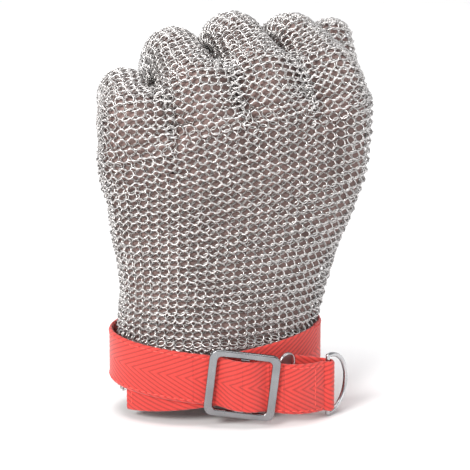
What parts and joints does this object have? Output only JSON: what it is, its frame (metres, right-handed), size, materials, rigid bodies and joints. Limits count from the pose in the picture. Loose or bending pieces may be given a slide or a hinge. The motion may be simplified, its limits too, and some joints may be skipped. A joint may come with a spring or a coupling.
{
  "type": "cut resistant glove",
  "caption": "Ring-mesh glove closed in a fist, with finger and thumb stalls that open, and a red webbing wrist strap with a square slide buckle and a D-ring.",
  "frame": {"origin": "centre of the wrist opening, level with the lower edge of the wrist band", "axes": "+Z from the wrist to the knuckles; the back of the hand faces -Y; the thumb is on +X"},
  "size_m": [0.1147, 0.0897, 0.1423],
  "materials": {
    "ring_mesh": "welded stainless rings, bright",
    "webbing": "herringbone woven webbing",
    "buckle_steel": "stamped and tumbled",
    "ring_wire": "bright bent wire",
    "rivet_steel": "satin"
  },
  "bodies": {
    "hand": {"back_of_hand_mesh": "ring_mesh", "palm_mesh": "ring_mesh", "wrist_hem_mesh": "ring_mesh", "thumb_base_mesh": "ring_mesh", "thumb_knuckle_mesh": "ring_mesh", "inner_band_front": "webbing", "band_palm_side": "webbing", "strap_wrap": "webbing", "strap_flat": "webbing", "strap_under_bar": "webbing", "strap_tail": "webbing", "strap_end_fold": "webbing", "rivets": "rivet_steel", "rivet_washers": "rivet_steel", "little_knuckle_mesh": "ring_mesh", "ring_knuckle_mesh": "ring_mesh", "middle_knuckle_mesh": "ring_mesh", "index_knuckle_mesh": "ring_mesh"},
    "little_base": {"little_base_stall": "ring_mesh", "little_middle_joint_mesh": "ring_mesh"},
    "little_middle": {"little_middle_stall": "ring_mesh", "little_end_joint_mesh": "ring_mesh"},
    "little_tip": {"little_tip_stall": "ring_mesh"},
    "ring_base": {"ring_base_stall": "ring_mesh", "ring_middle_joint_mesh": "ring_mesh"},
    "ring_middle": {"ring_middle_stall": "ring_mesh", "ring_end_joint_mesh": "ring_mesh"},
    "ring_tip": {"ring_tip_stall": "ring_mesh"},
    "middle_base": {"middle_base_stall": "ring_mesh", "middle_middle_joint_mesh": "ring_mesh"},
    "middle_middle": {"middle_middle_stall": "ring_mesh", "middle_end_joint_mesh": "ring_mesh"},
    "middle_tip": {"middle_tip_stall": "ring_mesh"},
    "index_base": {"index_base_stall": "ring_mesh", "index_middle_joint_mesh": "ring_mesh"},
    "index_middle": {"index_middle_stall": "ring_mesh", "index_end_joint_mesh": "ring_mesh"},
    "index_tip": {"index_tip_stall": "ring_mesh"},
    "thumb_base": {"thumb_stall": "ring_mesh", "thumb_joint_mesh": "ring_mesh"},
    "thumb_tip": {"thumb_tip_stall": "ring_mesh"},
    "buckle": {"buckle_frame": "buckle_steel", "buckle_centre_bar": "buckle_steel", "strap_over_bar": "webbing"},
    "d_ring": {"d_ring": "ring_wire"}
  },
  "joints": [
    {"name": "little_knuckle_bend", "type": "hinge", "parent": "hand", "child": "little_base", "pos_m": [-0.034, -0.006, 0.103], "axis": [0.9877, -0.1564, 0], "range_deg": [0, 63], "deforming": ["little_knuckle_mesh"]},
    {"name": "little_middle_bend", "type": "hinge", "parent": "little_base", "child": "little_middle", "pos_m": [-0.02954, 0.02216, 0.11753], "axis": [0.9877, -0.1564, 0], "range_deg": [0, 98], "deforming": ["little_middle_joint_mesh"]},
    {"name": "little_end_bend", "type": "hinge", "parent": "little_middle", "child": "little_tip", "pos_m": [-0.02847, 0.02891, 0.09767], "axis": [0.9877, -0.1564, 0], "range_deg": [0, 66], "deforming": ["little_end_joint_mesh"]},
    {"name": "ring_knuckle_bend", "type": "hinge", "parent": "hand", "child": "ring_base", "pos_m": [-0.0095, -0.009, 0.1135], "axis": [1, 0.0087, 0], "range_deg": [0, 67], "deforming": ["ring_knuckle_mesh"]},
    {"name": "ring_middle_bend", "type": "hinge", "parent": "ring_base", "child": "ring_middle", "pos_m": [-0.00983, 0.0292, 0.12971], "axis": [1, 0.0087, 0], "range_deg": [0, 101], "deforming": ["ring_middle_joint_mesh"]},
    {"name": "ring_end_bend", "type": "hinge", "parent": "ring_middle", "child": "ring_tip", "pos_m": [-0.00988, 0.0345, 0.10477], "axis": [1, 0.0087, 0], "range_deg": [0, 70], "deforming": ["ring_end_joint_mesh"]},
    {"name": "middle_knuckle_bend", "type": "hinge", "parent": "hand", "child": "middle_base", "pos_m": [0.016, -0.01, 0.1165], "axis": [0.9981, 0.061, 0], "range_deg": [0, 68], "deforming": ["middle_knuckle_mesh"]},
    {"name": "middle_middle_bend", "type": "hinge", "parent": "middle_base", "child": "middle_middle", "pos_m": [0.01345, 0.03164, 0.13336], "axis": [0.9981, 0.061, 0], "range_deg": [0, 100], "deforming": ["middle_middle_joint_mesh"]},
    {"name": "middle_end_bend", "type": "hinge", "parent": "middle_middle", "child": "middle_tip", "pos_m": [0.0131, 0.03746, 0.10597], "axis": [0.9981, 0.061, 0], "range_deg": [0, 70], "deforming": ["middle_end_joint_mesh"]},
    {"name": "index_knuckle_bend", "type": "hinge", "parent": "hand", "child": "index_base", "pos_m": [0.043, -0.008, 0.116], "axis": [0.9744, 0.225, 0], "range_deg": [0, 66], "deforming": ["index_knuckle_mesh"]},
    {"name": "index_middle_bend", "type": "hinge", "parent": "index_base", "child": "index_middle", "pos_m": [0.03457, 0.02849, 0.13268], "axis": [0.9744, 0.225, 0], "range_deg": [0, 100], "deforming": ["index_middle_joint_mesh"]},
    {"name": "index_end_bend", "type": "hinge", "parent": "index_middle", "child": "index_tip", "pos_m": [0.03316, 0.03462, 0.10745], "axis": [0.9744, 0.225, 0], "range_deg": [0, 70], "deforming": ["index_end_joint_mesh"]},
    {"name": "thumb_open", "type": "hinge", "parent": "hand", "child": "thumb_base", "pos_m": [0.051, 0.016, 0.075], "axis": [0.3082, 0.7746, -0.5523], "range_deg": [0, 40], "deforming": ["thumb_knuckle_mesh"]},
    {"name": "thumb_tip_bend", "type": "hinge", "parent": "thumb_base", "child": "thumb_tip", "pos_m": [0.059, 0.031, 0.1005], "axis": [-0.3082, -0.7746, 0.5523], "range_deg": [0, 30], "deforming": ["thumb_joint_mesh"]},
    {"name": "buckle_slide", "type": "slide", "parent": "hand", "child": "buckle", "axis": [0.9511, -0.309, 0], "range_m": [-0.004, 0.004], "deforming": ["strap_over_bar"]},
    {"name": "d_ring_swing", "type": "hinge", "parent": "hand", "child": "d_ring", "pos_m": [0.03287, -0.02991, 0.00944], "axis": [0, 0, 1], "range_deg": [-100, 20]}
  ],
  "couplings": [
    {"joint": "little_middle_bend", "follows": "little_knuckle_bend", "ratio": 1.5555},
    {"joint": "little_end_bend", "follows": "little_knuckle_bend", "ratio": 1.0475},
    {"joint": "ring_middle_bend", "follows": "ring_knuckle_bend", "ratio": 1.5074},
    {"joint": "ring_end_bend", "follows": "ring_knuckle_bend", "ratio": 1.0447},
    {"joint": "middle_middle_bend", "follows": "middle_knuckle_bend", "ratio": 1.4705},
    {"joint": "middle_end_bend", "follows": "middle_knuckle_bend", "ratio": 1.0293},
    {"joint": "index_middle_bend", "follows": "index_knuckle_bend", "ratio": 1.5151},
    {"joint": "index_end_bend", "follows": "index_knuckle_bend", "ratio": 1.0605},
    {"joint": "thumb_tip_bend", "follows": "thumb_open", "ratio": 0.7499}
  ]
}
